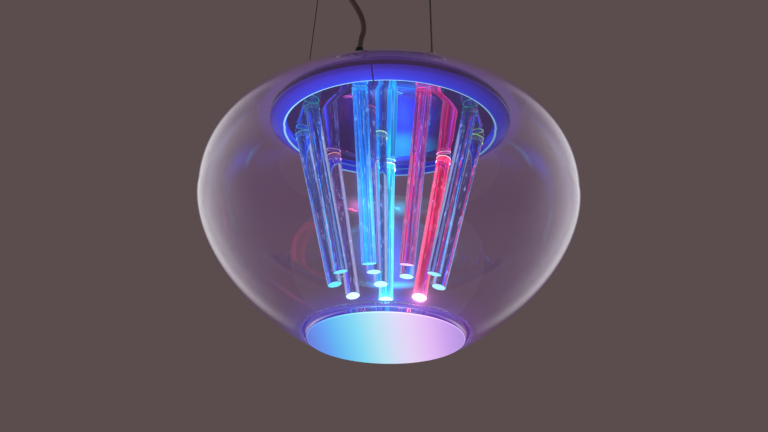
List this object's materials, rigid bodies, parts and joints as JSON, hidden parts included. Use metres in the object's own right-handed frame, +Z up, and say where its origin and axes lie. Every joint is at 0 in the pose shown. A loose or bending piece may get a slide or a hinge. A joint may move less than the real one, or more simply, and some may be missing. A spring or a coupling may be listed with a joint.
{
  "type": "pendant lamp",
  "caption": "Hanging lamp: a clear flattened glass globe round slim clear light rods under a polished dish, an opal disc below, and taut wires and a cord up to a ceiling cup.",
  "frame": {"origin": "centre of the ceiling bracket's top face, which lies on the ceiling", "axes": "+Z up, so the lamp hangs down from the origin; -Y is the side that the picture shows; +X is to the right in the picture"},
  "size_m": [0.4, 0.4, 0.4943],
  "materials": {
    "clear_glass": "clear, polished",
    "opal_acrylic": "opal, satin, lit from above",
    "clear_silicone": "clear, satin",
    "satin_steel": "satin",
    "black_rubber": "matt",
    "dark_mirror": "polished",
    "cast_aluminium": "cast",
    "grey_paint": "matt paint",
    "plain_steel": "bright zinc",
    "clear_acrylic": "clear, polished",
    "clear_collar": "clear, polished",
    "light_source": "domed lens",
    "wire_steel": "stranded, dark",
    "nickel": "nickel plated",
    "cup_aluminium": "satin",
    "white_plastic": "moulded",
    "bare_brass": "bare",
    "cord_rubber": "matt, grey-brown"
  },
  "bodies": {
    "lamp": {"glass_globe": "clear_glass", "diffuser_disc": "opal_acrylic", "disc_seal": "clear_silicone", "retaining_ring": "satin_steel", "glass_gasket": "black_rubber", "reflector_dish": "dark_mirror", "light_base": "cast_aluminium", "top_cover": "grey_paint", "cover_screws": "plain_steel", "light_rod_01": "clear_acrylic", "light_rod_02": "clear_acrylic", "light_rod_03": "clear_acrylic", "light_rod_04": "clear_acrylic", "light_rod_05": "clear_acrylic", "light_rod_06": "clear_acrylic", "light_rod_07": "clear_acrylic", "light_rod_08": "clear_acrylic", "light_rod_09": "clear_acrylic", "light_rod_10": "clear_acrylic", "light_rod_11": "clear_acrylic", "light_rod_12": "clear_acrylic", "rod_collar_01": "clear_collar", "rod_collar_02": "clear_collar", "rod_collar_03": "clear_collar", "rod_collar_04": "clear_collar", "rod_collar_05": "clear_collar", "rod_collar_06": "clear_collar", "rod_collar_07": "clear_collar", "rod_collar_08": "clear_collar", "rod_collar_09": "clear_collar", "rod_collar_10": "clear_collar", "rod_collar_11": "clear_collar", "rod_collar_12": "clear_collar", "led_chips": "light_source", "led_stars": "cast_aluminium", "suspension_wire_1": "wire_steel", "wire_anchor_1": "plain_steel", "gripper_barrel_1": "nickel", "gripper_spring_1": "plain_steel", "suspension_wire_2": "wire_steel", "wire_anchor_2": "plain_steel", "gripper_barrel_2": "nickel", "gripper_spring_2": "plain_steel", "suspension_wire_3": "wire_steel", "wire_anchor_3": "plain_steel", "gripper_barrel_3": "nickel", "gripper_spring_3": "plain_steel", "ceiling_bracket": "plain_steel", "led_driver": "white_plastic", "terminal_block": "white_plastic", "earth_terminal": "bare_brass", "cord_relief": "black_rubber", "cord_clamp": "white_plastic", "power_cord": "cord_rubber"},
    "cup": {"canopy_cup": "cup_aluminium", "cord_grommet": "black_rubber"},
    "nozzle_1": {"gripper_plunger_1": "nickel"},
    "nozzle_2": {"gripper_plunger_2": "nickel"},
    "nozzle_3": {"gripper_plunger_3": "nickel"}
  },
  "joints": [
    {"name": "cup_slide", "type": "slide", "parent": "lamp", "child": "cup", "axis": [0, 0, -1], "range_m": [0, 0.035]},
    {"name": "nozzle_1_press", "type": "slide", "parent": "lamp", "child": "nozzle_1", "axis": [0, 0, 1], "range_m": [0, 0.003], "stiffness_N_per_m": 400, "springref_m": -0.004, "deforming": ["gripper_spring_1"]},
    {"name": "nozzle_2_press", "type": "slide", "parent": "lamp", "child": "nozzle_2", "axis": [0, 0, 1], "range_m": [0, 0.003], "stiffness_N_per_m": 400, "springref_m": -0.004, "deforming": ["gripper_spring_2"]},
    {"name": "nozzle_3_press", "type": "slide", "parent": "lamp", "child": "nozzle_3", "axis": [0, 0, 1], "range_m": [0, 0.003], "stiffness_N_per_m": 400, "springref_m": -0.004, "deforming": ["gripper_spring_3"]}
  ]
}
